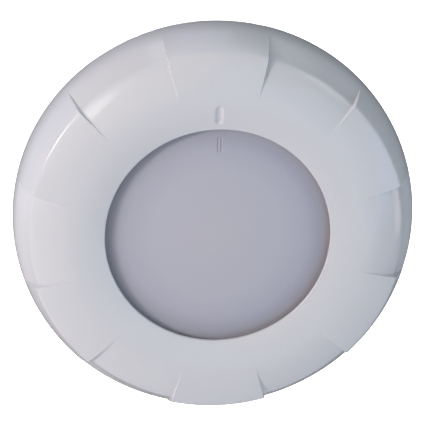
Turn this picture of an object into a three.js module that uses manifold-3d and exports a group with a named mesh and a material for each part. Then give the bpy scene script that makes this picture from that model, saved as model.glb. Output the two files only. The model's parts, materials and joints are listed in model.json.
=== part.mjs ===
// An underwater pool light that mounts on the face of a pool wall.
//
// A wall bracket with a bayonet collar is screwed over the conduit in the wall. The lamp, a sealed
// LED housing behind an opal lens, pushes onto it. A domed face ring turns on the lamp, and the lugs
// of the lock ring inside it lock behind the collar's flanges. Twelve grip pads on the face ring, six
// raised and six lowered, let wet hands turn it.
//
// The light is drawn face-on, in millimetres: x to the right, y up, z out of the wall. The group at
// the end stands it up, so that z out of the wall becomes -Y and y becomes +Z. The model is drawn with
// the lamp seated and its two index marks in line, which is how it goes on and comes off.

import * as THREE from "three";
import { mergeVertices } from "three/addons/utils/BufferGeometryUtils.js";
import Module from "manifold-3d";

const wasm = await Module();
wasm.setup();

// ---------------------------------------------------------------- driving dimensions, in mm

const GAP = 0.3; // left between pieces that rest on each other

// Face ring
const RING_R = 140; // outer rim
const RIM_Z = 4; // the rim stands off the wall so that water can move behind it
const OPENING_R = 76.2;
const LIP_Z = 46.8;
const LIP_EDGE = 1.8; // thickness of the lip round the lens
const CROWN_R = 100;
const CROWN_Z = 50.8; // the highest point of the face
const CORNER = new THREE.Vector2(127.4, 45.6); // where the face turns down into the side wall
const PAD_DIP = 3; // how far a lowered grip pad sits under a raised one, at the corner
const PAD_COUNT = 12;
const SHELL = 3;
const PRESS_RIB_R = [92, 94.4]; // the rib that bears on the lamp's clamp
const MARK = { radius: 86.6, z: 49.5, slope: 10.5, length: 14, width: 6, depth: 1.3 };

// Lamp
const LENS_R = 82; // its raised window, which runs on under the ring's lip
const LENS_Z = 40; // edge of the window, set back from the lip
const LENS_DOME = 2.4;
const LENS_FLANGE_R = 96;
const LENS_FLANGE_Z = [36.3, 38.4];
const LENS_MARK = { radius: 64.2, clockwise: 1.3, length: 11, width: 4.4, depth: 0.6 };
const FLANGE_R = 107; // of the housing, which the clamp ring matches
const FLANGE_Z = 35;
const HOUSING_R = 92;
const HOUSING_Z = 14.5; // back of the housing
const HOUSING_WALL = 2.5;
const WELL_R = 24; // the recess at the back that takes the cable gland
const WELL_Z = 19;
const CLAMP_TOP_Z = 41.5;
const CLAMP_SCREWS = 8;
const CLAMP_SCREW_R = 101.5;
const KEY_R = 78; // three pegs on the housing's back keep the lamp upright on the bracket
const GASKET_R = [83, 93];
const KEY_SIZE = 3.8;

// Light engine: a stack inside the lamp, each layer given by its back and front
const SPREADER = [27, 29.2];
const PAD = [SPREADER[1] + 0.1, SPREADER[1] + 0.7];
const BOARD = [PAD[1] + 0.1, PAD[1] + 1.7];
const REFLECTOR = [BOARD[1] + 0.4, BOARD[1] + 1.2];
const BOARD_R = 80;
const STACK_SCREW_R = 74;
const LED_RINGS = [{ radius: 24, count: 4, first: 45 }, { radius: 54, count: 8, first: 0 }];
const LED_WINDOW_R = 3.6;

// Driver electronics, on a ring-shaped board behind the light engine
const DRIVER = [18.4, 20];
const DRIVER_R = [29, 80];
const DRIVER_POST_R = 40;
const DRIVER_PARTS_Z = DRIVER[1] + GAP;

// Cable gland
const GLAND_BORE = 4.2; // for a two-core rubber cable of about 8 mm
const GLAND_HOLE_R = 8.4;
const GLAND_HEX_Z = [13.4, WELL_Z - 1.1];
const GLAND_TAIL_Z = 7.6;
const GLAND_NUT_Z = 2;

// Wall bracket and bayonet collar
const BRACKET_R = 98.5;
const PLATE = 4;
const COLLAR_Z = 13; // front of the collar
const COLLAR_WALL = 3.5;
const COLLAR_FLANGE = [86, PLATE + GAP, 7]; // inner radius, back and front
const COLLAR_SCREW_R = 90.6;
const CABLE_HOLE_R = 30;
const SLOT_R = 64; // radius at which the four wall screws sit
const SLOT_WIDTH = 5.6;
const SLOT_LENGTH = 14;

// Lock ring and bayonet
const LOCK_R = 110; // inner radius of the lock ring
const LOCK_WALL = 2.6;
const LOCK_Z = [5.4, 45.4];
const TAB_Z = [33, 35.6];
const TAB_SCREW_R = 119;
const TABS = 6;
const LUGS = 3;
const LUG_SPAN = 20; // degrees
const LUG_INNER_R = 100.5;
const LUG_Z = [5.8, 9.2];
const TRACK_R = 108.4; // outer radius of the collar's flanges
const TRACK_Z = [9.6, COLLAR_Z];
const TWIST = 30; // degrees from the marks in line to locked, clockwise
const LUG_PLAY = 0.8; // degrees between a lug and its stop

const RAD = Math.PI / 180;

// ---------------------------------------------------------------- helpers

function toSolid(geometry) {
  const bare = geometry.clone();
  bare.deleteAttribute("normal");
  bare.deleteAttribute("uv");
  const merged = mergeVertices(bare, 1e-4);
  return new wasm.Manifold(
    new wasm.Mesh({
      numProp: 3,
      vertProperties: new Float32Array(merged.attributes.position.array),
      triVerts: new Uint32Array(merged.index.array),
    }),
  );
}

function toGeometry(solid) {
  const mesh = solid.getMesh();
  const geometry = new THREE.BufferGeometry();
  geometry.setAttribute("position", new THREE.BufferAttribute(mesh.vertProperties, 3));
  geometry.setIndex(new THREE.BufferAttribute(mesh.triVerts, 1));
  const flat = geometry.toNonIndexed();
  flat.computeVertexNormals();
  return flat;
}

// Adds the second list of geometries to the first one, then cuts the third list away.
function combine(base, added = [], cut = []) {
  let solid = toSolid(base);
  for (const geometry of added) solid = solid.add(toSolid(geometry));
  for (const geometry of cut) solid = solid.subtract(toSolid(geometry));
  return toGeometry(solid);
}

// Turns a closed outline of [radius, z] points, listed anticlockwise, about the z axis.
function turned(outline, segments = 60) {
  const points = outline.map(([r, z]) => new THREE.Vector2(r, z));
  points.push(points[0].clone());
  return new THREE.LatheGeometry(points, segments).rotateX(Math.PI / 2);
}

// The same for an outline that starts and ends on the axis.
function turnedSolid(outline, segments = 60) {
  const points = outline.map(([r, z]) => new THREE.Vector2(r, z));
  return new THREE.LatheGeometry(points, segments).rotateX(Math.PI / 2);
}

function tube(inner, outer, z0, z1, segments = 48) {
  return turned([[inner, z0], [outer, z0], [outer, z1], [inner, z1]], segments);
}

function cylinder(radius, z0, z1, segments = 24) {
  return new THREE.CylinderGeometry(radius, radius, z1 - z0, segments)
    .rotateX(Math.PI / 2)
    .translate(0, 0, (z0 + z1) / 2);
}

function hexagon(acrossFlats, z0, z1) {
  return cylinder(acrossFlats / 2 / Math.cos(30 * RAD), z0, z1, 6);
}

function box(width, height, z0, z1) {
  return new THREE.BoxGeometry(width, height, z1 - z0).translate(0, 0, (z0 + z1) / 2);
}

function extruded(shape, z0, z1, curveSegments = 8) {
  return new THREE.ExtrudeGeometry(shape, { depth: z1 - z0, bevelEnabled: false, curveSegments })
    .translate(0, 0, z0);
}

// Moves a geometry out along +y to the given radius, then turns it clockwise from the top.
function placed(geometry, radius, clockwise) {
  return geometry.translate(0, radius, 0).rotateZ(-clockwise * RAD);
}

// A band of a ring between two angles, in degrees clockwise from the top.
function sector(inner, outer, from, to, z0, z1) {
  const start = (90 - from) * RAD;
  const end = (90 - to) * RAD;
  const shape = new THREE.Shape();
  shape.absarc(0, 0, outer, start, end, true);
  shape.absarc(0, 0, inner, end, start, false);
  shape.closePath();
  return extruded(shape, z0, z1, Math.max(2, Math.ceil((to - from) / 6)));
}

// A slot with round ends, long in x.
function slot(length, width, z0, z1) {
  const half = (length - width) / 2;
  const shape = new THREE.Shape();
  shape.absarc(half, 0, width / 2, -Math.PI / 2, Math.PI / 2, false);
  shape.absarc(-half, 0, width / 2, Math.PI / 2, (3 * Math.PI) / 2, false);
  shape.closePath();
  return extruded(shape, z0, z1, 5);
}

// Calls make with each of the angles that share a full turn, and with the angle's number.
function around(count, make, first = 0) {
  return Array.from({ length: count }, (_, i) => make(first + (i * 360) / count, i));
}

// ---------------------------------------------------------------- materials

function plastic(color, roughness) {
  return new THREE.MeshStandardMaterial({ color, roughness, metalness: 0 });
}

function metal(color, roughness) {
  return new THREE.MeshStandardMaterial({ color, roughness, metalness: 1 });
}

const whiteGloss = plastic(0xd9dade, 0.28);
const opal = plastic(0xb4b4c2, 0.45);
const charcoal = plastic(0x3a3d40, 0.6);
const greyNylon = plastic(0x9a9ea2, 0.65);
const blackNylon = plastic(0x1c1d1f, 0.55);
const silicone = plastic(0x8f3f35, 0.8);
const rubber = plastic(0x18181a, 0.85);
const stainless = metal(0xb9bcc0, 0.3);
const aluminium = metal(0xc4c7ca, 0.45);
const boardWhite = plastic(0xe8e9e6, 0.5);
const boardGreen = plastic(0x1f5a38, 0.5);
const padGrey = plastic(0x7d8fa3, 0.9);
const phosphor = plastic(0xe6d25a, 0.4);
const chipBlack = plastic(0x151515, 0.5);
const copper = metal(0xb5693c, 0.4);
const canAluminium = metal(0xcfd2d4, 0.35);

// ---------------------------------------------------------------- face ring

// The outside of a raised pad, from the rim up the wall, over the corner and crown to the lip.
function faceOutline() {
  const foot = new THREE.Vector2(RING_R, RIM_Z + 3);
  const wallPull = new THREE.Vector2(RING_R + 0.2, RIM_Z + 20);
  const wall = new THREE.QuadraticBezierCurve(foot, wallPull, CORNER);
  const crown = new THREE.Vector2(CROWN_R, CROWN_Z);
  const facePull = new THREE.Vector2((CORNER.x + CROWN_R) / 2, CROWN_Z);
  const face = new THREE.QuadraticBezierCurve(CORNER, facePull, crown);
  const lip = new THREE.Vector2(OPENING_R, LIP_Z);
  const lipPull = new THREE.Vector2((OPENING_R + CROWN_R) / 2, CROWN_Z);
  const inward = new THREE.QuadraticBezierCurve(crown, lipPull, lip);
  // The corner itself is rounded: the two curves stop short of it and a third one joins them.
  const round = new THREE.QuadraticBezierCurve(wall.getPoint(0.86), CORNER, face.getPoint(0.13));
  const points = [new THREE.Vector2(RING_R, RIM_Z)];
  for (const t of [0, 0.25, 0.5, 0.68]) points.push(wall.getPoint(t));
  points.push(...round.getPoints(3));
  for (const t of [0.35, 0.6, 0.8]) points.push(face.getPoint(t));
  for (const t of [0, 0.33, 0.66, 0.9]) points.push(inward.getPoint(t));
  points.push(new THREE.Vector2(OPENING_R + 0.5, LIP_Z - 0.3));
  points.push(new THREE.Vector2(OPENING_R, LIP_Z - 1));
  return points;
}

// How far down a lowered pad a point of the outline goes: all the way at the corner, not at all
// at the crown or low on the wall.
function dip(point) {
  const alongFace = THREE.MathUtils.smoothstep(point.x, CROWN_R - 2, CORNER.x);
  const upWall = THREE.MathUtils.smoothstep(point.y, RIM_Z + 17, CORNER.y - 2);
  return PAD_DIP * Math.min(alongFace, upWall);
}

function lowered(point) {
  const inward = dip(point) / Math.SQRT2;
  return new THREE.Vector2(point.x - inward, point.y - inward);
}

// The shell's inside, from the thin edge of the lip out to the rim, with the same wall throughout.
const SHELL_INSIDE = [
  [OPENING_R, LIP_Z - LIP_EDGE],
  [OPENING_R + 3, LIP_Z - LIP_EDGE - 0.2],
  [88, CROWN_Z - SHELL - 2],
  [CROWN_R, CROWN_Z - SHELL],
  [112, CROWN_Z - SHELL - 1.4],
  [CORNER.x - 6.2, CORNER.y - 5.4],
  [131, 30],
  [RING_R - 4.4, RIM_Z + 14],
  [RING_R - SHELL, RIM_Z + 3],
  [RING_R - SHELL, RIM_Z],
];

// Both kinds of pad are turned with the same columns, and each column takes one of them. Columns
// either side of a step are drawn together, so that the step is steep.
function ringShell() {
  const columns = 72;
  const stepWidth = 1; // degrees
  const pitch = 360 / PAD_COUNT;
  const outline = faceOutline();
  const inside = SHELL_INSIDE.map(([r, z]) => new THREE.Vector2(r, z));
  const close = (points) => [...points, ...inside, points[0].clone()];
  const raised = new THREE.LatheGeometry(close(outline), columns, 180 * RAD / columns);
  const sunk = new THREE.LatheGeometry(close(outline.map(lowered)), columns, 180 * RAD / columns);
  const position = raised.attributes.position;
  const at = new THREE.Vector3();
  for (let i = 0; i < position.count; i++) {
    at.fromBufferAttribute(position, i);
    const angle = Math.atan2(at.x, at.z) / RAD;
    const pad = Math.round(angle / pitch);
    if (pad % 2 !== 0) at.fromBufferAttribute(sunk.attributes.position, i);
    const fromMiddle = angle - pad * pitch;
    const lastColumn = pitch / 2 - 360 / columns / 2;
    const atStep = Math.abs(Math.abs(fromMiddle) - lastColumn) < 0.1;
    const turn = atStep ? Math.sign(fromMiddle) * (pitch / 2 - stepWidth / 2 - lastColumn) : 0;
    at.applyAxisAngle(new THREE.Vector3(0, 1, 0), turn * RAD);
    position.setXYZ(i, at.x, at.y, at.z);
  }
  return raised.rotateX(Math.PI / 2);
}

// A rib inside the shell, between its side wall and the lock ring.
function gusset() {
  const inner = LOCK_R + LOCK_WALL + 2 * GAP;
  const foot = 24;
  const thickness = 2;
  const shape = new THREE.Shape();
  shape.moveTo(inner, foot);
  shape.lineTo(RING_R - 4.6, foot);
  shape.lineTo(CORNER.x - 4.6, CORNER.y - 4);
  shape.lineTo(inner, CROWN_Z - SHELL);
  shape.closePath();
  return new THREE.ExtrudeGeometry(shape, { depth: thickness, bevelEnabled: false })
    .translate(0, 0, -thickness / 2)
    .rotateX(Math.PI / 2);
}

function faceRing() {
  const pressRib = tube(...PRESS_RIB_R, CLAMP_TOP_Z + GAP, CROWN_Z - SHELL, 48);
  const gussets = around(TABS, (a) => gusset().rotateZ((90 - a) * RAD), 30);
  const bosses = around(TABS, (a) =>
    placed(cylinder(3.8, TAB_Z[1] + GAP, CORNER.y - 2, 12), TAB_SCREW_R, a));
  const screwHoles = around(TABS, (a) =>
    placed(cylinder(1.8, TAB_Z[1], CORNER.y - 4, 8), TAB_SCREW_R, a));
  const mark = slot(MARK.length, MARK.width, -MARK.depth, 4)
    .rotateZ(Math.PI / 2)
    .rotateX(MARK.slope * RAD)
    .translate(0, MARK.radius, MARK.z);
  return combine(ringShell(), [pressRib, ...gussets, ...bosses], [...screwHoles, mark]);
}

// ---------------------------------------------------------------- lock ring

function lockRing() {
  const wall = tube(LOCK_R, LOCK_R + LOCK_WALL, ...LOCK_Z, 60);
  const lugs = around(LUGS, (a) =>
    sector(LUG_INNER_R, LOCK_R + 1, a - LUG_SPAN / 2, a + LUG_SPAN / 2, ...LUG_Z));
  // Beads behind the lamp's flange keep the ring on the lamp.
  const beads = around(6, (a) =>
    sector(FLANGE_R - 0.6, LOCK_R + 1, a - 4, a + 4, FLANGE_Z - 7, FLANGE_Z - 4.4), 30);
  const tabs = around(TABS, (a) =>
    sector(LOCK_R + 1, TAB_SCREW_R + 4, a - 3, a + 3, ...TAB_Z));
  const holes = around(TABS, (a) =>
    placed(cylinder(1.9, TAB_Z[0] - 1, TAB_Z[1] + 1, 8), TAB_SCREW_R, a));
  return combine(wall, [...lugs, ...beads, ...tabs], holes);
}

// ---------------------------------------------------------------- lens and its clamp

function lens() {
  const [back, front] = LENS_FLANGE_Z;
  const inner = LENS_R - 6;
  // The front is a shallow dome with a rounded edge, and the back is hollowed to match it.
  const rise = (share) => LENS_DOME * (1 - share * share);
  const outline = [[0, LENS_Z - 2.5 + rise(0)], [inner * 0.5, LENS_Z - 2.5 + rise(0.5)]];
  outline.push([inner * 0.85, LENS_Z - 2.6], [inner, back], [LENS_FLANGE_R, back]);
  outline.push([LENS_FLANGE_R, front], [LENS_R, front], [LENS_R, LENS_Z - 0.9]);
  for (const share of [0.985, 0.85, 0.65, 0.4, 0]) {
    outline.push([LENS_R * share, LENS_Z + rise(share)]);
  }
  const { radius, clockwise, length, width, depth } = LENS_MARK;
  const floor = LENS_Z + rise(radius / LENS_R) - depth;
  const pill = slot(length, width, floor, floor + 3).rotateZ(Math.PI / 2);
  const mark = placed(pill, radius, clockwise);
  return combine(turnedSolid(outline), [], [mark]);
}

const lensGasket = () => tube(...GASKET_R, FLANGE_Z + 0.1, FLANGE_Z + 1, 48);

function clampRing() {
  const underside = LENS_FLANGE_Z[1] + GAP;
  const ring = turned([
    [LENS_FLANGE_R + 1, FLANGE_Z + GAP],
    [FLANGE_R, FLANGE_Z + GAP],
    [FLANGE_R, CLAMP_TOP_Z],
    [88, CLAMP_TOP_Z],
    [88, underside],
    [LENS_FLANGE_R + 1, underside],
  ], 48);
  const holes = around(CLAMP_SCREWS, (a) =>
    placed(cylinder(1.9, FLANGE_Z, CLAMP_TOP_Z + 1, 10), CLAMP_SCREW_R, a), 22.5);
  return combine(ring, [], holes);
}

// A pan-head screw with a cross recess, its head resting at z = 0 and its shank going to -length.
function panScrew(shankR, headR, length) {
  const headHeight = headR * 0.75;
  const body = turnedSolid([
    [0, -length],
    [shankR * 0.4, -length],
    [shankR, -length + shankR],
    [shankR, 0],
    [headR, 0],
    [headR, headHeight * 0.55],
    [headR * 0.7, headHeight],
    [0, headHeight],
  ], 8);
  const blade = () => box(headR * 1.2, headR * 0.28, headHeight * 0.45, headHeight + 1);
  return combine(body, [], [blade(), blade().rotateZ(Math.PI / 2)]);
}

// ---------------------------------------------------------------- housing

function housing() {
  const floor = HOUSING_Z + HOUSING_WALL;
  const wellFloor = WELL_Z + HOUSING_WALL;
  const flangeBack = FLANGE_Z - 4;
  const ledge = 82; // where the flange narrows under the lens
  const cup = turned([
    [GLAND_HOLE_R, WELL_Z],
    [WELL_R, WELL_Z],
    [WELL_R, HOUSING_Z],
    [HOUSING_R - 4, HOUSING_Z],
    [HOUSING_R, HOUSING_Z + 4],
    [HOUSING_R, flangeBack],
    [FLANGE_R, flangeBack],
    [FLANGE_R, FLANGE_Z],
    [ledge, FLANGE_Z],
    [ledge, FLANGE_Z - 2],
    [HOUSING_R - 3, flangeBack],
    [HOUSING_R - 3, floor],
    [WELL_R + HOUSING_WALL, floor],
    [WELL_R + HOUSING_WALL, wellFloor],
    [GLAND_HOLE_R, wellFloor],
  ], 48);
  const clampBosses = around(CLAMP_SCREWS, (a) =>
    placed(cylinder(3.6, FLANGE_Z - 9, FLANGE_Z - 3.5, 12), CLAMP_SCREW_R, a), 22.5);
  const keys = around(3, (a) =>
    placed(cylinder(KEY_SIZE, PLATE + 2, HOUSING_Z + 1, 16), KEY_R, a));
  const fins = around(12, (a) => placed(box(2, 52, HOUSING_Z - 1, HOUSING_Z + 0.5), 57, a), 15);
  const spreaderBosses = around(3, (a) =>
    placed(cylinder(3.4, floor - 0.5, SPREADER[0] - GAP, 12), STACK_SCREW_R, a), 60);
  const boardPosts = around(3, (a) =>
    placed(cylinder(3, floor - 0.5, DRIVER[0] - GAP, 12), DRIVER_POST_R, a));
  const clampHoles = around(CLAMP_SCREWS, (a) =>
    placed(cylinder(1.8, FLANGE_Z - 8, FLANGE_Z + 1, 10), CLAMP_SCREW_R, a), 22.5);
  const spreaderHoles = around(3, (a) =>
    placed(cylinder(1.8, floor + 1, SPREADER[0] + 1, 10), STACK_SCREW_R, a), 60);
  return combine(
    cup,
    [...clampBosses, ...keys, ...fins, ...spreaderBosses, ...boardPosts],
    [...clampHoles, ...spreaderHoles],
  );
}

// ---------------------------------------------------------------- light engine

function stackHoles(radius, z0, z1) {
  return around(3, (a) => placed(cylinder(radius, z0 - 1, z1 + 1, 10), STACK_SCREW_R, a), 60);
}

function layer(radius, [z0, z1], holeR) {
  return combine(cylinder(radius, z0, z1, 40), [], stackHoles(holeR, z0, z1));
}

// A white plate with a window for each emitter and a rim that slopes up to the lens.
function reflector() {
  const [z0, z1] = REFLECTOR;
  const centreHole = 4;
  const dish = turned([
    [centreHole, z0],
    [BOARD_R - 4, z0],
    [BOARD_R, z0 + 2.4],
    [BOARD_R, z0 + 3.2],
    [BOARD_R - 4.4, z1],
    [centreHole, z1],
  ], 40);
  const windows = ledPlaces().map(({ radius, angle }) =>
    placed(cylinder(LED_WINDOW_R, z0 - 1, z1 + 1, 10), radius, angle));
  return combine(dish, [], [...windows, ...stackHoles(LED_WINDOW_R, z0, z1)]);
}

function ledPlaces() {
  return LED_RINGS.flatMap(({ radius, count, first }) =>
    around(count, (angle) => ({ radius, angle }), first));
}

// A surface-mount emitter: a square ceramic base under a small dome.
function emitter() {
  const z = BOARD[1];
  const dome = turnedSolid([[0, z + 0.6], [1.6, z + 0.6], [1.6, z + 0.9], [1.1, z + 1.9], [0, z + 2.3]], 10);
  return combine(box(4, 4, z, z + 0.8), [dome]);
}

// ---------------------------------------------------------------- driver electronics

function driverBoard() {
  const [z0, z1] = DRIVER;
  const holes = around(3, (a) => placed(cylinder(1.4, z0 - 1, z1 + 1, 8), DRIVER_POST_R, a));
  const bossGaps = stackHoles(4.4, z0, z1);
  return combine(tube(...DRIVER_R, z0, z1, 40), [], [...holes, ...bossGaps]);
}

function capacitor() {
  const base = DRIVER_PARTS_Z;
  return turnedSolid([
    [0, base],
    [4, base],
    [4, base + 1],
    [3.6, base + 1.5],
    [4, base + 2],
    [4, base + 6],
    [3.6, base + 6.3],
    [0, base + 6.3],
  ], 16);
}

// A ring-shaped winding that lies on the board.
function inductor() {
  const section = 2.7;
  const middle = DRIVER_PARTS_Z + section + 0.1;
  const outline = new THREE.Path().absarc(6.5, middle, section, 0, 2 * Math.PI, false).getPoints(8);
  return turned(outline.slice(0, -1).map((p) => [p.x, p.y]), 20);
}

function terminalBlock() {
  const base = DRIVER_PARTS_Z;
  const ways = [-4, 4];
  const screws = ways.map((x) => cylinder(2, base + 3.5, base + 7, 12).translate(x, 0, 0));
  const entries = ways.map((x) => box(4, 5, base + 0.8, base + 3).translate(x, -4, 0));
  return combine(box(17, 8, base, base + 6.2), [], [...screws, ...entries]);
}

// A block of moulded epoxy with a notch at one end.
function chip(width, height, thickness) {
  const top = DRIVER_PARTS_Z + thickness;
  const notch = cylinder(height * 0.12, top - 0.4, top + 1, 8).translate(-width / 2, 0, 0);
  return combine(box(width, height, DRIVER_PARTS_Z, top), [], [notch]);
}

// ---------------------------------------------------------------- cable gland

function glandBody() {
  const stub = tube(GLAND_BORE, 8, GLAND_HEX_Z[1] - 0.5, WELL_Z + HOUSING_WALL + 4.4, 24);
  const tail = tube(7.4, 9.2, GLAND_TAIL_Z, GLAND_HEX_Z[0] + 0.5, 24);
  const hex = combine(hexagon(24, ...GLAND_HEX_Z), [], [
    cylinder(GLAND_BORE, GLAND_HEX_Z[0] - 1, GLAND_HEX_Z[1] + 1, 24),
  ]);
  return combine(hex, [stub, tail]);
}

function glandSeal() {
  return turned([
    [GLAND_BORE, 5.2],
    [5.6, 5.2],
    [7.1, 7.4],
    [7.1, GLAND_HEX_Z[0] - GAP],
    [GLAND_BORE, GLAND_HEX_Z[0] - GAP],
  ], 24);
}

// The round cap nut that squeezes the seal onto the cable.
function glandNut() {
  const top = GLAND_HEX_Z[0] - 0.6;
  return turned([
    [GLAND_BORE + 0.8, GLAND_NUT_Z],
    [8.2, GLAND_NUT_Z],
    [11, 4.4],
    [11.6, 5.4],
    [11.6, top],
    [9.5, top],
    [9.5, 7],
    [7.4, 7],
    [5.6, 4.6],
    [GLAND_BORE + 0.8, 4.6],
  ], 24);
}

const glandLocknut = () =>
  combine(hexagon(22, WELL_Z + HOUSING_WALL + GAP, WELL_Z + HOUSING_WALL + 3.6), [], [
    cylinder(8.3, WELL_Z, WELL_Z + 10, 24),
  ]);

const glandRing = () => tube(9.4, 11.4, GLAND_HEX_Z[1] + 0.1, WELL_Z - 0.1, 24);

// ---------------------------------------------------------------- wall bracket

function wallBracket() {
  const lip = 3.5;
  const plate = turned([
    [CABLE_HOLE_R, 0],
    [BRACKET_R, 0],
    [BRACKET_R, PLATE],
    [CABLE_HOLE_R + lip, PLATE],
    [CABLE_HOLE_R + lip, PLATE + 4],
    [CABLE_HOLE_R, PLATE + 4],
  ]);
  const ribLength = COLLAR_FLANGE[0] - CABLE_HOLE_R - 3;
  const ribs = around(12, (a) =>
    placed(box(2, ribLength, PLATE - 1, PLATE + 3), CABLE_HOLE_R + 1 + ribLength / 2, a), 15);
  const sockets = around(3, (a) => placed(cylinder(7, PLATE - 1, COLLAR_Z - 1, 16), KEY_R, a));
  const bores = around(3, (a) =>
    placed(cylinder(KEY_SIZE + 0.4, PLATE + 0.6, COLLAR_Z, 16), KEY_R, a));
  const slotPads = around(4, (a) =>
    placed(slot(SLOT_LENGTH + 8, SLOT_WIDTH + 8, PLATE - 1, PLATE + 2), SLOT_R, a), 45);
  const slots = around(4, (a) =>
    placed(slot(SLOT_LENGTH, SLOT_WIDTH, -1, PLATE + 4), SLOT_R, a), 45);
  const screwHoles = around(3, (a) =>
    placed(cylinder(1.8, 0.8, PLATE + 1, 8), COLLAR_SCREW_R, a), 60);
  return combine(plate, [...ribs, ...sockets, ...slotPads], [...bores, ...slots, ...screwHoles]);
}

// The collar's three flanges each run from an entry gap to the stop that the lug meets when locked.
function bayonetCollar() {
  const [inner, back, front] = COLLAR_FLANGE;
  const wall = turned([
    [inner, back],
    [BRACKET_R, back],
    [BRACKET_R, COLLAR_Z],
    [BRACKET_R - COLLAR_WALL, COLLAR_Z],
    [BRACKET_R - COLLAR_WALL, front],
    [inner, front],
  ]);
  const half = LUG_SPAN / 2 + LUG_PLAY;
  const stop = 3;
  const band = (from, to, z0) => sector(BRACKET_R - 1, TRACK_R, from, to, z0, COLLAR_Z);
  const tracks = around(LUGS, (a) => band(a + half + stop, a + TWIST + half + stop, TRACK_Z[0]));
  const lockStops = around(LUGS, (a) =>
    band(a + TWIST + half, a + TWIST + half + stop, LUG_Z[0] - 1.4));
  const entryStops = around(LUGS, (a) => band(a - half - stop, a - half, LUG_Z[0] - 1.4));
  const holes = around(3, (a) =>
    placed(cylinder(1.9, PLATE, front + 1, 8), COLLAR_SCREW_R, a), 60);
  return combine(wall, [...tracks, ...lockStops, ...entryStops], holes);
}

// ---------------------------------------------------------------- assembly

const light = new THREE.Group();

// Adds a piece, moved out along +y to a radius, turned clockwise from the top and raised to z.
function add(name, geometry, material, { radius = 0, clockwise = 0, z = 0 } = {}) {
  const mesh = new THREE.Mesh(geometry, material);
  mesh.name = name;
  mesh.position.set(radius * Math.sin(clockwise * RAD), radius * Math.cos(clockwise * RAD), z);
  mesh.rotation.z = -clockwise * RAD;
  light.add(mesh);
}

add("wall_bracket", wallBracket(), greyNylon);
add("bayonet_collar", bayonetCollar(), greyNylon);
around(3, (clockwise, i) =>
  add(`collar_screw_${i + 1}`, panScrew(1.5, 2.8, 5.6), stainless, {
    radius: COLLAR_SCREW_R,
    clockwise,
    z: COLLAR_FLANGE[2] + 0.1,
  }), 60);

add("face_ring", faceRing(), whiteGloss);
add("lock_ring", lockRing(), greyNylon);
around(TABS, (clockwise, i) =>
  add(`lock_ring_screw_${i + 1}`, panScrew(1.5, 2.8, 8).rotateY(Math.PI), stainless, {
    radius: TAB_SCREW_R,
    clockwise,
    z: TAB_Z[0] - 0.1,
  }));

add("lamp_housing", housing(), charcoal);
add("lens", lens(), opal);
add("lens_gasket", lensGasket(), silicone);
add("lens_clamp_ring", clampRing(), charcoal);
around(CLAMP_SCREWS, (clockwise, i) =>
  add(`clamp_screw_${i + 1}`, panScrew(1.5, 3, 11), stainless, {
    radius: CLAMP_SCREW_R,
    clockwise,
    z: CLAMP_TOP_Z + 0.1,
  }), 22.5);

add("heat_spreader", layer(BOARD_R + 4, SPREADER, 2), aluminium);
add("thermal_pad", layer(BOARD_R, PAD, 2.4), padGrey);
add("led_board", layer(BOARD_R, BOARD, 2), boardWhite);
add("reflector_plate", reflector(), boardWhite);
ledPlaces().forEach(({ radius, angle }, i) =>
  add(`led_${i + 1}`, emitter(), phosphor, { radius, clockwise: angle, z: 0.1 }));
around(3, (clockwise, i) =>
  add(`board_screw_${i + 1}`, panScrew(1.5, 2.8, 10), stainless, {
    radius: STACK_SCREW_R,
    clockwise,
    z: BOARD[1] + 0.1,
  }), 60);

add("driver_board", driverBoard(), boardGreen);
add("driver_inductor", inductor(), copper, { radius: 58, clockwise: 120 });
[200, 222].forEach((clockwise, i) =>
  add(`driver_capacitor_${i + 1}`, capacitor(), canAluminium, { radius: 58, clockwise }));
add("driver_rectifier", chip(8, 6, 2.6), chipBlack, { radius: 56, clockwise: 250 });
add("driver_controller", chip(10, 7, 1.6), chipBlack, { radius: 58, clockwise: 80 });
add("terminal_block", terminalBlock(), blackNylon, { radius: 60, clockwise: 150 });

add("gland_body", glandBody(), blackNylon);
add("gland_o_ring", glandRing(), rubber);
add("gland_locknut", glandLocknut(), blackNylon);
add("gland_seal", glandSeal(), rubber);
add("gland_nut", glandNut(), blackNylon);

// Stand the light against the wall: z out of the wall becomes -Y, and y becomes +Z.
const root = new THREE.Group();
light.rotation.x = Math.PI / 2;
root.add(light);

export default root;
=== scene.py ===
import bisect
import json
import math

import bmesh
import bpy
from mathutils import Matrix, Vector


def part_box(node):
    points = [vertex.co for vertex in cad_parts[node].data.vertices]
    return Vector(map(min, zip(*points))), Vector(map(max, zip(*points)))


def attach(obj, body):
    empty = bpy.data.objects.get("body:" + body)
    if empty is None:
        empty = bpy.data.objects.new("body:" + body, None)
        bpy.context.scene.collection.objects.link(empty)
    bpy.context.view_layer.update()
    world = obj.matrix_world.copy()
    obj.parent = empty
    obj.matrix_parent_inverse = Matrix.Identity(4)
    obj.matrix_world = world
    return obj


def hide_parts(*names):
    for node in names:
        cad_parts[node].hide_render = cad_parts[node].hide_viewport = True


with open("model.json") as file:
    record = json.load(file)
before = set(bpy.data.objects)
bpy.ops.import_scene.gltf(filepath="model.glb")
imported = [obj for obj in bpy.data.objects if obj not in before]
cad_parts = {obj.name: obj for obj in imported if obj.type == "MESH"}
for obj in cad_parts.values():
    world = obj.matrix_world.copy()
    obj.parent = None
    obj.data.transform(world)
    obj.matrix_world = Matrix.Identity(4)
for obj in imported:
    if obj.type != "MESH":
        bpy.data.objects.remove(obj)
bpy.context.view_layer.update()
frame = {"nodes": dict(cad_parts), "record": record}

# An underwater pool light in a plain studio, at the angle of its reference view.
#
# The face ring and the lens are rebuilt here with finer surfaces than the CAD nodes they stand for.
# Every other piece is the CAD node itself, with its edges softened and a procedural material. The
# light's front looks along -Y. Below, a point is given by its radius from the Y axis through the
# light's middle, its depth out from the wall, and its angle clockwise from the top as seen from the
# front. Sizes are in metres and angles in degrees, unless a name or comment says otherwise.

# ---------------------------------------------------------------- sizes, in metres

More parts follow.
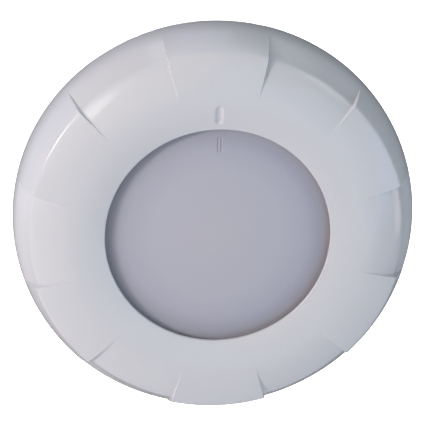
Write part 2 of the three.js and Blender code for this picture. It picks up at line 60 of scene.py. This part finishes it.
MM = 0.001
RAD = math.radians(1)

ring_low, ring_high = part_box("face_ring")
lens_low, lens_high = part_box("lens")

# Face ring
RIM_R = (ring_high.x - ring_low.x) / 2
RIM_DEPTH = -ring_high.y
CROWN_R = 100 * MM
CROWN_DEPTH = -ring_low.y
OPENING_R = 76.2 * MM
LIP_DEPTH = CROWN_DEPTH - 4 * MM
CORNER = Vector((127.4 * MM, CROWN_DEPTH - 5.2 * MM))
SHELL = 3 * MM
WALL_FOOT_RISE = 3 * MM  # how far above the rim a pad's wall starts to curve
WALL_PULL = Vector((0.2 * MM, 20 * MM))  # what the wall's curve leans to, from the rim
RAISED_CORNER = (0.958, 0.042)  # the shares of the wall and of the face between which a corner is round
LOWERED_CORNER = (0.93, 0.27)
PAD_COUNT = 12
PAD_PITCH = 360 / PAD_COUNT
PAD_DIP = 3 * MM  # how far a lowered pad's corner lies in from a raised one's
PAD_DIP_START = (CROWN_R - 2 * MM, RIM_DEPTH + 17 * MM)  # its radius on the face, and depth on the wall
PAD_DIP_FULL = (CORNER.x, CORNER.y - 2 * MM)
STEP_WIDTH = (0.3 * MM, 1.0 * MM)  # where a step starts, and where it is highest
STEP_FULL_HEIGHT = 4 * MM
STEP_REACH = 0.5  # degrees either side of a step that it may take up
STEP_COLUMNS = 10  # in that reach
PAD_COLUMNS = 20  # between one step's reach and the next
PAD_HUB = Vector((112 * MM, 30 * MM))  # a point inside every pad that sees all of its outline
CORNER_RAYS_REACH = 8  # degrees about the hub, either side of the corner, where rays lie closer
RAY_COUNTS = (18, 20, 22)  # up the wall, round the corner, and over the face
CURVE_STEPS = 80
LIP_STEPS = 48
GUSSET_R = 113.2 * MM
GUSSET_DEPTH = 24 * MM
GUSSET_THICKNESS = 2 * MM
BOSS_R = 119 * MM
BOSS_DEPTH = 35.9 * MM
BOSS_SIDES = 32
PRESS_RIB_R = (92 * MM, 94.4 * MM)
PRESS_RIB_DEPTH = 41.8 * MM
RING_CREASE = 32

# The index mark scooped into the ring: a pill along a radius. Its wall takes up most of its width.
RING_MARK = {
    "clockwise": 0.2,
    "inner": 82.8 * MM,
    "outer": 90.4 * MM,
    "half_width": 3.2 * MM,
    "wall": 2.3 * MM,
    "depth": 1.7 * MM,
}

# Lens
LENS_FLANGE_R = (lens_high.x - lens_low.x) / 2
LENS_BACK = -lens_high.y
LENS_FRONT = -lens_low.y
LENS_R = 82 * MM
LENS_DOME = 2.4 * MM
LENS_EDGE_DEPTH = LENS_FRONT - LENS_DOME
LENS_FLANGE_FRONT = LENS_BACK + 2.1 * MM
LENS_MARK = {
    "clockwise": 1.3,
    "inner": 60.9 * MM,
    "outer": 67.5 * MM,
    "half_width": 2.2 * MM,
    "wall": 0.7 * MM,
    "depth": 0.6 * MM,
}
LENS_MARK_RIB = (0.2 * MM, 0.65 * MM)  # half its crest, and half its foot
LENS_MARK_RIB_SHARE = 0.8  # how much of the groove's depth the rib in it takes up
LENS_MARK_ROWS = 32
LENS_ROW = 2 * MM
LENS_ROWS = 40
LENS_COLUMN = 3.0
LENS_CREASE = 40

MARK_COLUMN = 0.14  # degrees between the columns across a mark
MARK_COLUMNS = 20  # on each side of its middle

# The rounds that the CAD nodes' edges are given
SOFT_EDGE = 0.25 * MM
SMALL_SOFT_EDGE = 0.08 * MM

# ---------------------------------------------------------------- mesh helpers


def new_piece(name, mesh, material, slot, body, *nodes):
    piece = bpy.data.objects.new(name, mesh)
    bpy.context.scene.collection.objects.link(piece)
    mesh.materials.append(material)
    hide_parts(*nodes)
    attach(piece, body)
    return piece


def point(radius, depth, clockwise):
    return Vector((radius * math.sin(clockwise), -depth, radius * math.cos(clockwise)))


def smoothstep(low, high, value):
    share = min(max((value - low) / (high - low), 0), 1)
    return share * share * (3 - 2 * share)


def quadratic(start, pull, end, share):
    return start.lerp(pull, share).lerp(pull.lerp(end, share), share)


def curve_points(start, pull, end, first, last, count):
    """Points along a curve that leans to pull, from its share first to its share last."""
    shares = [first + (last - first) * i / count for i in range(count + 1)]
    return [quadratic(start, pull, end, share) for share in shares]


def mesh_of(name, points, faces, crease_degrees=30):
    mesh = bpy.data.meshes.new(name)
    mesh.from_pydata(points, [], faces)
    work = bmesh.new()
    work.from_mesh(mesh)
    bmesh.ops.remove_doubles(work, verts=work.verts, dist=1e-7)
    bmesh.ops.recalc_face_normals(work, faces=work.faces)
    work.to_mesh(mesh)
    work.free()
    mesh.polygons.foreach_set("use_smooth", [True] * len(mesh.polygons))
    mesh.set_sharp_from_angle(angle=crease_degrees * RAD)
    return mesh


def turned(name, outline_at, angles, crease_degrees=30):
    """A closed outline turned about the light's axis. outline_at(angle) lists (radius, depth)."""
    rows = [[point(r, d, angle * RAD) for r, d in outline_at(angle)] for angle in angles]
    width = len(rows[0])
    faces = []
    for i in range(len(rows)):
        here, after = i * width, (i + 1) % len(rows) * width
        for j in range(width):
            k = (j + 1) % width
            faces.append((here + j, after + j, after + k, here + k))
    return mesh_of(name, [p for row in rows for p in row], faces, crease_degrees)


def joined(name, meshes, crease_degrees):
    work = bmesh.new()
    for mesh in meshes:
        work.from_mesh(mesh)
    whole = bpy.data.meshes.new(name)
    work.to_mesh(whole)
    work.free()
    whole.polygons.foreach_set("use_smooth", [True] * len(whole.polygons))
    whole.set_sharp_from_angle(angle=crease_degrees * RAD)
    return whole


def across(mark, radius, clockwise):
    """How far a point lies to the right of the mark's middle line."""
    return radius * math.sin((clockwise - mark["clockwise"]) * RAD)


def in_pill(mark, radius, clockwise):
    """How far down into the mark a point is, from 0 at its edge to 1 on its floor."""
    if radius * math.cos(clockwise * RAD) < 0:
        return 0
    along = min(max(radius, mark["inner"]), mark["outer"])
    away = math.hypot(across(mark, radius, clockwise), radius - along)
    return 1 - smoothstep(mark["half_width"] - mark["wall"], mark["half_width"], away)


def mark_angles(mark):
    """Close columns across a mark."""
    steps = range(-MARK_COLUMNS, MARK_COLUMNS + 1)
    return [round(mark["clockwise"] + step * MARK_COLUMN, 4) for step in steps]


# ---------------------------------------------------------------- face ring


def pad_curve(raised):
    """The face of one kind of pad, from the rim over the corner to the crown, in close points."""
    foot = Vector((RIM_R, RIM_DEPTH + WALL_FOOT_RISE))
    wall_pull = Vector((RIM_R, RIM_DEPTH)) + WALL_PULL
    crown = Vector((CROWN_R, CROWN_DEPTH))
    face_pull = Vector(((CORNER.x + CROWN_R) / 2, CROWN_DEPTH))
    round_from, round_to = RAISED_CORNER if raised else LOWERED_CORNER
    wall = curve_points(foot, wall_pull, CORNER, 0, round_from, CURVE_STEPS)
    face = curve_points(CORNER, face_pull, crown, round_to, 1, CURVE_STEPS)
    corner = curve_points(wall[-1], CORNER, face[0], 0, 1, CURVE_STEPS)
    curve = wall + corner[1:-1] + face
    return curve if raised else [lowered(p) for p in curve]


def lowered(p):
    """A raised pad's point, moved in by what a lowered pad lacks there."""
    along_face = smoothstep(PAD_DIP_START[0], PAD_DIP_FULL[0], p.x)
    up_wall = smoothstep(PAD_DIP_START[1], PAD_DIP_FULL[1], p.y)
    inward = PAD_DIP * min(along_face, up_wall) / math.sqrt(2)
    return p - Vector((inward, inward))


def turn_about_hub(p):
    return math.atan2(p.y - PAD_HUB.y, p.x - PAD_HUB.x) / RAD


def spread(first, last, count):
    """Even values from the first up to, but not including, the last."""
    return [first + (last - first) * i / count for i in range(count)]


def on_rays(curve):
    """The curve's points on rays from the hub, so that both kinds of pad have points that match."""
    turns = [turn_about_hub(p) for p in curve]
    corner = turn_about_hub(CORNER)
    before, after = corner - CORNER_RAYS_REACH, corner + CORNER_RAYS_REACH
    on_wall, on_corner, on_face = RAY_COUNTS
    rays = spread(turns[0], before, on_wall)
    rays += spread(before, after, on_corner)
    rays += spread(after, turns[-1], on_face)
    found = []
    for ray in rays:
        i = min(max(bisect.bisect(turns, ray), 1), len(turns) - 1)
        share = (ray - turns[i - 1]) / (turns[i] - turns[i - 1])
        found.append(curve[i - 1].lerp(curve[i], share))
    return found + [curve[-1]]


def pad_outline(raised):
    """One kind of pad, from the rim over the corner and crown to just before the lip's edge."""
    crown = Vector((CROWN_R, CROWN_DEPTH))
    lip_pull = Vector(((OPENING_R + CROWN_R) / 2, CROWN_DEPTH))
    lip = Vector((OPENING_R, LIP_DEPTH))
    to_lip = curve_points(crown, lip_pull, lip, 0, 0.97, LIP_STEPS)
    return on_rays(pad_curve(raised)) + to_lip[1:]


def lip_and_inside():
    """From the lip, over its rounded edge, back through the inside of the shell to the rim."""
    edge = curve_points(
        Vector((OPENING_R + 0.7 * MM, LIP_DEPTH + 0.3 * MM)),
        Vector((OPENING_R, LIP_DEPTH)),
        Vector((OPENING_R, LIP_DEPTH - 0.9 * MM)),
        0.15, 1, 4,
    )
    inside = [
        # the back of the lip, and the crown from behind
        (OPENING_R, LIP_DEPTH - 1.8 * MM),
        (OPENING_R + 3 * MM, LIP_DEPTH - 2 * MM),
        (88 * MM, CROWN_DEPTH - SHELL - 2 * MM),
        (CROWN_R, CROWN_DEPTH - SHELL),
        (112 * MM, CROWN_DEPTH - SHELL - 1.4 * MM),
        # the corner and the wall from behind
        (CORNER.x - 6.2 * MM, CORNER.y - 5.4 * MM),
        (131 * MM, 30 * MM),
        (RIM_R - 4.4 * MM, RIM_DEPTH + 14 * MM),
        # the rim, with its rounded edge
        (RIM_R - SHELL, RIM_DEPTH + WALL_FOOT_RISE),
        (RIM_R - SHELL, RIM_DEPTH + 0.5 * MM),
        (RIM_R - SHELL + 0.5 * MM, RIM_DEPTH),
        (RIM_R - 1.4 * MM, RIM_DEPTH),
        (RIM_R - 0.4 * MM, RIM_DEPTH + 0.4 * MM),
        (RIM_R, RIM_DEPTH + 1.4 * MM),
    ]
    return edge + [Vector(p) for p in inside]


RAISED = pad_outline(True)
LOWERED = pad_outline(False)
LIP_AND_INSIDE = lip_and_inside()


def past_step(clockwise):
    """Degrees from the nearest step, counted as positive on a raised pad."""
    pad = round(clockwise / PAD_PITCH)
    to_step = PAD_PITCH / 2 - abs(clockwise - pad * PAD_PITCH)
    return to_step if pad % 2 == 0 else -to_step


def ring_outline(clockwise):
    past = past_step(clockwise)
    outline = []
    for high, low in zip(RAISED, LOWERED):
        # A step is a steep slope, widest where it is highest.
        narrow, wide = STEP_WIDTH
        width = narrow + (wide - narrow) * min((high - low).length / STEP_FULL_HEIGHT, 1)
        half = width / high.x / RAD / 2
        p = low.lerp(high, smoothstep(-half, half, past))
        p.y -= RING_MARK["depth"] * in_pill(RING_MARK, p.x, clockwise)
        outline.append(p)
    return outline + LIP_AND_INSIDE


def ring_angles():
    """Columns every degree and a half, and closer ones at each step and across the index mark."""
    angles = set()
    for pad in range(PAD_COUNT):
        middle = pad * PAD_PITCH
        reach = PAD_PITCH / 2 - STEP_REACH
        on_pad = range(PAD_COLUMNS + 1)
        angles.update(round(middle - reach + 2 * reach * i / PAD_COLUMNS, 4) for i in on_pad)
        step = middle + PAD_PITCH / 2
        near_step = range(1 - STEP_COLUMNS, STEP_COLUMNS)
        angles.update(round(step + STEP_REACH * i / STEP_COLUMNS, 4) for i in near_step)
    angles.update(mark_angles(RING_MARK))
    return sorted(angles)


def block(name, outline, thickness, clockwise):
    """A flat outline of (radius, depth) points, given a thickness across the radius."""
    half = Vector((math.cos(clockwise * RAD), 0, -math.sin(clockwise * RAD))) * thickness / 2
    near = [point(r, d, clockwise * RAD) - half for r, d in outline]
    far = [p + 2 * half for p in near]
    count = len(outline)
    faces = [tuple(range(count)), tuple(range(2 * count - 1, count - 1, -1))]
    faces += [(i, (i + 1) % count, count + (i + 1) % count, count + i) for i in range(count)]
    return mesh_of(name, near + far, faces)


def boss(name, radius, clockwise, low, high):
    """A hollow round boss along the depth, with a chamfered mouth."""
    chamfer = 0.5 * MM
    bore, outside = 1.8 * MM, 3.8 * MM
    rings = [
        (bore, high),
        (bore, low + chamfer),
        (bore + chamfer, low),
        (outside - chamfer, low),
        (outside, low + chamfer),
        (outside, high),
    ]
    middle = point(radius, 0, clockwise * RAD)
    points = []
    for size, depth in rings:
        for i in range(BOSS_SIDES):
            turn = 2 * math.pi * i / BOSS_SIDES
            offset = Vector((math.sin(turn), 0, math.cos(turn))) * size
            points.append(middle + offset + Vector((0, -depth, 0)))
    faces = []
    for j in range(len(rings)):
        here, there = j * BOSS_SIDES, (j + 1) % len(rings) * BOSS_SIDES
        for i in range(BOSS_SIDES):
            k = (i + 1) % BOSS_SIDES
            faces.append((here + i, here + k, there + k, there + i))
    return mesh_of(name, points, faces)


def face_ring():
    shell = turned("shell", ring_outline, ring_angles(), RING_CREASE)
    inner, outer = PRESS_RIB_R
    top = CROWN_DEPTH - SHELL + 0.5 * MM
    rib_outline = [(inner, PRESS_RIB_DEPTH), (outer, PRESS_RIB_DEPTH), (outer, top), (inner, top)]
    rib = turned("press_rib", lambda _: rib_outline, range(0, 360, 2))
    gusset = [
        (GUSSET_R, GUSSET_DEPTH),
        (RIM_R - 4.6 * MM, GUSSET_DEPTH),
        (CORNER.x - 4.6 * MM, CORNER.y - 4 * MM),
        (GUSSET_R, CROWN_DEPTH - SHELL),
    ]
    gussets = [block("gusset", gusset, GUSSET_THICKNESS, a) for a in range(30, 360, 60)]
    bosses = [boss("boss", BOSS_R, a, BOSS_DEPTH, CORNER.y - 2 * MM) for a in range(0, 360, 60)]
    mesh = joined("face_ring_shell", [shell, rib, *gussets, *bosses], RING_CREASE)
    return new_piece("face_ring_shell", mesh, white_plastic(), "white_gloss", "ring", "face_ring")


# ---------------------------------------------------------------- lens


def lens_depth(radius, clockwise):
    """The front of the lens: a shallow dome with a groove and a thin rib in it for the mark."""
    depth = LENS_EDGE_DEPTH + LENS_DOME * (1 - (radius / LENS_R) ** 2)
    groove = in_pill(LENS_MARK, radius, clockwise)
    rib = 1 - smoothstep(*LENS_MARK_RIB, abs(across(LENS_MARK, radius, clockwise)))
    return depth - LENS_MARK["depth"] * groove * (1 - LENS_MARK_RIB_SHARE * rib)


def lens_radii():
    """Even rows over the lens, and closer ones across its mark."""
    past_mark = LENS_MARK["half_width"] + 0.5 * MM
    from_mark = LENS_MARK["inner"] - past_mark
    to_mark = LENS_MARK["outer"] + past_mark
    radii = [LENS_ROW * i for i in range(1, LENS_ROWS + 1)]
    radii = [r for r in radii if not from_mark < r < to_mark]
    radii += [*spread(from_mark, to_mark, LENS_MARK_ROWS), to_mark]
    return sorted(radii)


LENS_RADII = lens_radii()


def lens_outline(clockwise):
    front = [(0, lens_depth(0, clockwise))]
    front += [(r, lens_depth(r, clockwise)) for r in LENS_RADII]
    edge_r = LENS_R * 0.992
    edge = curve_points(
        Vector((edge_r, lens_depth(edge_r, clockwise))),
        Vector((LENS_R, LENS_EDGE_DEPTH)),
        Vector((LENS_R, LENS_EDGE_DEPTH - 0.8 * MM)),
        0, 1, 5,
    )
    flange = [
        (LENS_R, LENS_FLANGE_FRONT),
        (LENS_FLANGE_R, LENS_FLANGE_FRONT),
        (LENS_FLANGE_R, LENS_BACK),
        (LENS_R - 6 * MM, LENS_BACK),
        (64 * MM, LENS_BACK + 1.1 * MM),
        (36 * MM, LENS_BACK + 2.9 * MM),
        (0, LENS_BACK + 3.6 * MM),
    ]
    return front + [tuple(p) for p in edge] + flange


def lens_angles():
    half_turn = round(180 / LENS_COLUMN)
    angles = {round(step * LENS_COLUMN, 4) for step in range(-half_turn, half_turn)}
    angles.update(mark_angles(LENS_MARK))
    return sorted(angles)


def lens():
    mesh = turned("lens_diffuser", lens_outline, lens_angles(), LENS_CREASE)
    return new_piece("lens_diffuser", mesh, opal_with_painted_edge_shade(), "opal", "lamp", "lens")


# ---------------------------------------------------------------- materials


def new_material(name, color, roughness, metallic=0.0):
    material = bpy.data.materials.new(name)
    material.use_nodes = True
    shader = material.node_tree.nodes["Principled BSDF"]
    shader.inputs["Base Color"].default_value = (*color, 1)
    shader.inputs["Roughness"].default_value = roughness
    shader.inputs["Metallic"].default_value = metallic
    return material, material.node_tree, shader


def node(tree, kind, **inputs):
    made = tree.nodes.new(kind)
    for name, value in inputs.items():
        made.inputs[name.replace("_", " ")].default_value = value
    return made


def object_place(tree):
    return tree.nodes.new("ShaderNodeTexCoord").outputs["Object"]


def noise(tree, scale, detail=3.0, stretch=None):
    made = node(tree, "ShaderNodeTexNoise", Scale=scale, Detail=detail)
    place = object_place(tree)
    if stretch:
        mapping = node(tree, "ShaderNodeMapping", Scale=stretch)
        tree.links.new(place, mapping.inputs["Vector"])
        place = mapping.outputs["Vector"]
    tree.links.new(place, made.inputs["Vector"])
    return made.outputs["Fac"]


def ramp(tree, value, *stops):
    made = tree.nodes.new("ShaderNodeValToRGB")
    elements = made.color_ramp.elements
    while len(elements) < len(stops):
        elements.new(0.5)
    for element, (place, color) in zip(elements, stops):
        element.position = place
        element.color = (*color, 1)
    tree.links.new(value, made.inputs["Fac"])
    return made.outputs["Color"]


def vary_color(tree, shader, value, low, high, spread=(0.3, 0.7)):
    color = ramp(tree, value, (spread[0], low), (spread[1], high))
    tree.links.new(color, shader.inputs["Base Color"])


def vary_roughness(tree, shader, value, low, high):
    span = node(tree, "ShaderNodeMapRange", From_Min=0.3, From_Max=0.7, To_Min=low, To_Max=high)
    tree.links.new(value, span.inputs["Value"])
    tree.links.new(span.outputs["Result"], shader.inputs["Roughness"])


def bump(tree, shader, value, height, strength=1.0):
    made = node(tree, "ShaderNodeBump", Strength=strength, Distance=height)
    tree.links.new(value, made.inputs["Height"])
    tree.links.new(made.outputs["Normal"], shader.inputs["Normal"])


def white_plastic():
    material, tree, shader = new_material("white_plastic", (0.784, 0.769, 0.789), 0.17)
    cloud = noise(tree, 9, 2)
    vary_color(tree, shader, cloud, (0.780, 0.765, 0.785), (0.788, 0.773, 0.793))
    vary_roughness(tree, shader, noise(tree, 25, 2), 0.16, 0.18)
    bump(tree, shader, noise(tree, 260, 1), 0.003 * MM)
    shader.inputs["IOR"].default_value = 1.52
    return material


# The opal lens material, with painted shade darkening it towards its edge.
def opal_with_painted_edge_shade():
    material, tree, shader = new_material("opal_with_painted_edge_shade", (0.42, 0.41, 0.48), 0.4)
    place = tree.nodes.new("ShaderNodeSeparateXYZ")
    tree.links.new(object_place(tree), place.inputs["Vector"])
    radius = node(tree, "ShaderNodeVectorMath")
    radius.operation = "LENGTH"
    flat = tree.nodes.new("ShaderNodeCombineXYZ")
    tree.links.new(place.outputs["X"], flat.inputs["X"])
    tree.links.new(place.outputs["Z"], flat.inputs["Z"])
    tree.links.new(flat.outputs["Vector"], radius.inputs[0])
    share = node(tree, "ShaderNodeMapRange", From_Min=0.0, From_Max=LENS_R)
    tree.links.new(radius.outputs["Value"], share.inputs["Value"])
    # Painted shade: the colour darkens towards the lens's edge, standing in for the shade under the
    # ring's lip and the dimmer light that comes through the lens over the dark clamp behind it.
    color = ramp(
        tree, share.outputs["Result"],
        (0.0, (0.600, 0.578, 0.628)),
        (0.55, (0.580, 0.562, 0.632)),
        (0.75, (0.53, 0.518, 0.595)),
        (0.84, (0.475, 0.463, 0.537)),
        (0.94, (0.47, 0.453, 0.498)),
    )
    tree.links.new(color, shader.inputs["Base Color"])
    vary_roughness(tree, shader, noise(tree, 90, 4), 0.36, 0.44)
    bump(tree, shader, noise(tree, 1500, 2), 0.012 * MM, 0.5)
    return material


def glass_filled_nylon(name, color):
    material, tree, shader = new_material(name, color, 0.6)
    fibres = noise(tree, 900, 4, stretch=(1, 1, 3))
    light = tuple(min(c * 1.25 + 0.01, 1) for c in color)
    vary_color(tree, shader, fibres, color, light, (0.4, 0.75))
    vary_roughness(tree, shader, noise(tree, 200, 4), 0.5, 0.68)
    bump(tree, shader, noise(tree, 1400, 3), 0.03 * MM)
    return material


def moulded_rubber(name, color):
    material, tree, shader = new_material(name, color, 0.75)
    vary_color(tree, shader, noise(tree, 120, 4), color, tuple(c * 1.3 + 0.004 for c in color))
    vary_roughness(tree, shader, noise(tree, 400, 3), 0.68, 0.85)
    bump(tree, shader, noise(tree, 2000, 2), 0.02 * MM)
    return material


def brushed_metal(name, color, roughness, stretch=(1, 1, 12)):
    material, tree, shader = new_material(name, color, roughness, 1.0)
    grain = noise(tree, 1200, 5, stretch=stretch)
    vary_color(tree, shader, noise(tree, 60, 3), tuple(c * 0.9 for c in color), color)
    vary_roughness(tree, shader, grain, roughness - 0.08, roughness + 0.1)
    bump(tree, shader, grain, 0.01 * MM)
    return material


def coated_board(name, color):
    material, tree, shader = new_material(name, color, 0.35)
    weave = node(tree, "ShaderNodeTexVoronoi", Scale=600.0)
    tree.links.new(object_place(tree), weave.inputs["Vector"])
    vary_color(tree, shader, noise(tree, 50, 3), tuple(c * 0.88 for c in color), color)
    vary_roughness(tree, shader, noise(tree, 300, 3), 0.3, 0.42)
    bump(tree, shader, weave.outputs["Distance"], 0.01 * MM)
    return material


def smooth_moulding(name, color, roughness):
    material, tree, shader = new_material(name, color, roughness)
    vary_color(tree, shader, noise(tree, 150, 3), tuple(c * 0.85 for c in color), color)
    vary_roughness(tree, shader, noise(tree, 500, 3), roughness - 0.05, roughness + 0.08)
    bump(tree, shader, noise(tree, 1800, 2), 0.01 * MM)
    return material


def slot_materials():
    return {
        "bracket_grey": glass_filled_nylon("bracket_nylon", (0.30, 0.31, 0.33)),
        "charcoal": glass_filled_nylon("housing_nylon", (0.042, 0.046, 0.05)),
        "silicone": moulded_rubber("silicone", (0.26, 0.055, 0.04)),
        "rubber": moulded_rubber("black_rubber", (0.012, 0.012, 0.013)),
        "black_nylon": smooth_moulding("black_nylon", (0.016, 0.016, 0.018), 0.45),
        "stainless": brushed_metal("stainless", (0.55, 0.56, 0.58), 0.28),
        "aluminium": brushed_metal("aluminium", (0.72, 0.73, 0.75), 0.38),
        "thermal_pad": moulded_rubber("thermal_pad", (0.20, 0.27, 0.36)),
        "board_white": coated_board("white_board", (0.80, 0.81, 0.78)),
        "board_green": coated_board("green_board", (0.014, 0.10, 0.04)),
        "phosphor": smooth_moulding("phosphor", (0.78, 0.62, 0.09), 0.35),
        "chip_black": smooth_moulding("chip_epoxy", (0.014, 0.014, 0.014), 0.5),
        "copper": brushed_metal("copper_winding", (0.62, 0.24, 0.10), 0.35, (1, 14, 1)),
        "capacitor_can": brushed_metal("capacitor_can", (0.75, 0.76, 0.78), 0.25),
    }


# ---------------------------------------------------------------- CAD nodes that are shown


def soften(cad_object, width):
    """Smooths a CAD node's curved faces and gives its edges a small round."""
    cad_object.data.polygons.foreach_set("use_smooth", [True] * len(cad_object.data.polygons))
    weld = cad_object.modifiers.new("weld", "WELD")
    weld.merge_threshold = 0.002 * MM
    bevel = cad_object.modifiers.new("bevel", "BEVEL")
    bevel.width = width
    bevel.segments = 2
    bevel.limit_method = "ANGLE"
    bevel.angle_limit = 40 * RAD
    bevel.use_clamp_overlap = True
    cad_object.modifiers.new("normals", "WEIGHTED_NORMAL").keep_sharp = True


def dress_cad_nodes():
    slots = {entry["node"]: entry["material_slot"] for entry in frame["record"]["subparts"]}
    materials = slot_materials()
    for name, cad_object in frame["nodes"].items():
        if cad_object.hide_render:
            continue
        cad_object.data.materials.clear()
        cad_object.data.materials.append(materials[slots[name]])
        small = slots[name] == "phosphor" or name == "reflector_plate"
        soften(cad_object, SMALL_SOFT_EDGE if small else SOFT_EDGE)


# ---------------------------------------------------------------- studio

VIEW_AZIMUTH = -4.5
VIEW_ELEVATION = 20.5
VIEW_TARGET = Vector((-0.6, -25, 8.7)) * MM
VIEW_DISTANCE = 910 * MM
VIEW_LENS = 111
VIEW_SENSOR = 36
FLOOR_DROP = 300 * MM
FLOOR_SIDES = 48
STAGE_R = 6000 * MM
PALE = (0.87, 0.87, 0.88)
LIGHT_DISTANCE = 1.3

# The wash lights the floor behind the object, from just under it.
WASH_PLACE = (0, 3.2)
WASH_SIZE = (9, 6)
WASH_POWER = 270
WASH_DROP = 20 * MM

# Soft square lights round the object: name, azimuth, elevation, side in metres, watts and colour
STUDIO_LIGHTS = [
    ("key", -52, 12, 0.25, 4.70, (1.00, 0.94, 0.90)),
    ("left_wide", -60, 20, 1.1, 3.70, (0.72, 0.79, 1.00)),
    ("top", 0, 88, 1.1, 4.48, (0.84, 0.91, 1.00)),
    ("front_right", 25, 0, 1.1, 3.16, (0.44, 0.69, 1.00)),
    ("front_left", -20, 20, 1.1, 2.37, (1.00, 0.78, 0.45)),
    ("key_high", -45, 22, 0.45, 2.00, (1.00, 0.93, 0.88)),
    ("far_left", -110, 10, 1.1, 2.13, (0.63, 0.75, 1.00)),
    ("right_low", 75, -10, 0.45, 1.37, (1.00, 0.93, 0.80)),
    ("right_high", 60, 35, 0.45, 1.18, (0.87, 1.00, 0.97)),
    ("right", 50, -5, 0.45, 1.02, (0.38, 0.65, 1.00)),
    ("behind", 180, 60, 0.45, 0.59, (0.49, 0.56, 1.00)),
    ("back", 180, -4, 0.5, 6.00, (0.96, 0.98, 1.00)),
]


def direction(azimuth, elevation):
    """From the light's middle towards a place round it, as the views count azimuth."""
    a, e = azimuth * RAD, elevation * RAD
    return Vector((math.sin(a) * math.cos(e), -math.cos(a) * math.cos(e), math.sin(e)))


def camera():
    data = bpy.data.cameras.new("camera")
    data.lens = VIEW_LENS
    data.sensor_width = VIEW_SENSOR
    data.clip_start = 0.02
    data.clip_end = 50
    made = bpy.data.objects.new("camera", data)
    bpy.context.scene.collection.objects.link(made)
    back = direction(VIEW_AZIMUTH, VIEW_ELEVATION)
    made.location = VIEW_TARGET + back * VIEW_DISTANCE
    made.rotation_mode = "QUATERNION"
    made.rotation_quaternion = (-back).to_track_quat("-Z", "Y")
    bpy.context.scene.camera = made


def area_light(name, azimuth, elevation, distance, size, power, color=(1, 1, 1)):
    data = bpy.data.lights.new(name, "AREA")
    data.shape = "RECTANGLE"
    data.size, data.size_y = size
    data.energy = power
    data.color = color
    made = bpy.data.objects.new(name, data)
    bpy.context.scene.collection.objects.link(made)
    towards = direction(azimuth, elevation)
    made.location = VIEW_TARGET + towards * distance
    made.rotation_mode = "QUATERNION"
    made.rotation_quaternion = towards.to_track_quat("Z", "Y")
    return made


def stage_piece(name, mesh, material):
    made = bpy.data.objects.new(name, mesh)
    bpy.context.scene.collection.objects.link(made)
    mesh.materials.append(material)
    made.visible_glossy = False
    return made


def only_for_the_camera(made):
    """Such a piece is seen, and neither lights nor shades the object."""
    made.visible_diffuse = False
    made.visible_transmission = False
    made.visible_shadow = False


def glowing_paint(name, color, glow):
    material, tree, shader = new_material(name, color, 0.9)
    vary_color(tree, shader, noise(tree, 3, 3), tuple(c - 0.01 for c in color), color)
    shader.inputs["Emission Color"].default_value = (*color, 1)
    shader.inputs["Emission Strength"].default_value = glow
    return material


def disc(name, radius, height):
    turns = [2 * math.pi * i / FLOOR_SIDES for i in range(FLOOR_SIDES)]
    rim = [(radius * math.cos(turn), radius * math.sin(turn), height) for turn in turns]
    mesh = bpy.data.meshes.new(name)
    mesh.from_pydata(rim, [], [tuple(range(FLOOR_SIDES))])
    return mesh


def floor():
    """A pale floor that is seen, and just under it the one that throws light back up."""
    height = ring_low.z - FLOOR_DROP
    bounce_paint = glowing_paint("floor_paint", PALE, 0)
    bounce_floor = stage_piece("bounce_floor", disc("bounce_floor", STAGE_R, height), bounce_paint)
    bounce_floor.visible_camera = False
    seen_paint = glowing_paint("pale_floor", PALE, 0.85)
    seen_floor = stage_piece("floor", disc("floor", STAGE_R, height + 2 * MM), seen_paint)
    only_for_the_camera(seen_floor)


def backdrop():
    """A plain white dome far outside the lights."""
    mesh = bpy.data.meshes.new("backdrop")
    work = bmesh.new()
    bmesh.ops.create_icosphere(work, subdivisions=4, radius=STAGE_R)
    work.to_mesh(mesh)
    work.free()
    white = glowing_paint("white_backdrop", (1, 1, 1), 1)
    only_for_the_camera(stage_piece("backdrop", mesh, white))


def floor_wash(name, x, y, size, power):
    """A wide light just under the object that faces down and whitens the floor round it."""
    wash = area_light(name, 0, 90, 0, size, power)
    wash.location = (x, y, ring_low.z - WASH_DROP)
    wash.visible_camera = False


def studio():
    world = bpy.data.worlds.new("studio")
    world.use_nodes = True
    background = world.node_tree.nodes["Background"]
    background.inputs["Color"].default_value = (0.95, 0.97, 1.0, 1)
    background.inputs["Strength"].default_value = 0.02
    bpy.context.scene.world = world
    for name, azimuth, elevation, side, power, color in STUDIO_LIGHTS:
        area_light(name, azimuth, elevation, LIGHT_DISTANCE, (side, side), power, color)
    floor_wash("wash_back", *WASH_PLACE, WASH_SIZE, WASH_POWER)
    bpy.context.scene.view_settings.view_transform = "Standard"


face_ring()
lens()
dress_cad_nodes()
floor()
backdrop()
camera()
studio()
